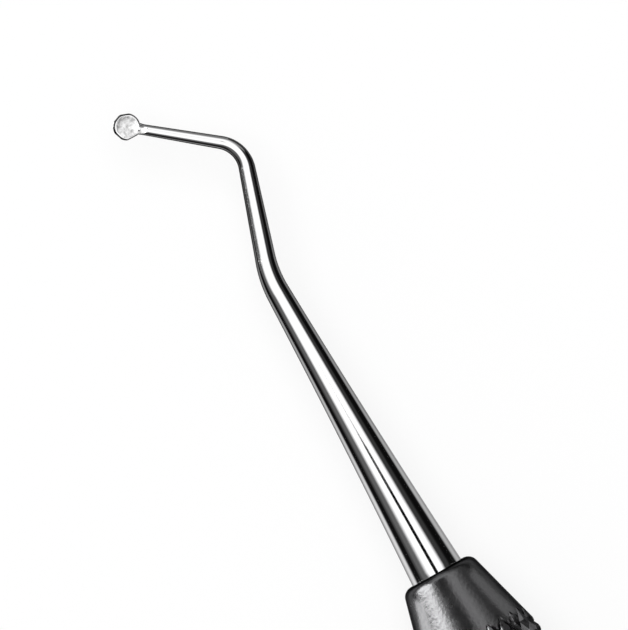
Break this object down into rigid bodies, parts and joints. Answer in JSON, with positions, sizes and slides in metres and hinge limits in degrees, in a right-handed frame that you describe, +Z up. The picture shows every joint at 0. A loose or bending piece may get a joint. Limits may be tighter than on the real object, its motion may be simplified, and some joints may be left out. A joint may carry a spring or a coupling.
{
  "type": "dental spoon excavator",
  "caption": "Double-ended dental hand instrument with round spoon blades on bent tapered steel shanks, pressed into a hollow handle with diamond-knurled grips.",
  "frame": {"origin": "on the surface that the handle rests on, below the middle of the handle", "axes": "+X along the handle towards the right working end, +Z up, with the bends of both ends in the level plane of the handle's axis"},
  "size_m": [0.174, 0.0086, 0.0085],
  "materials": {
    "satin_steel": "bead-blasted satin, dark grey",
    "polished_steel": "mirror polished, with a frosted bowl in the spoon"
  },
  "bodies": {
    "root": {"handle": "satin_steel", "working_end_left": "polished_steel", "working_end_right": "polished_steel"}
  },
  "joints": []
}
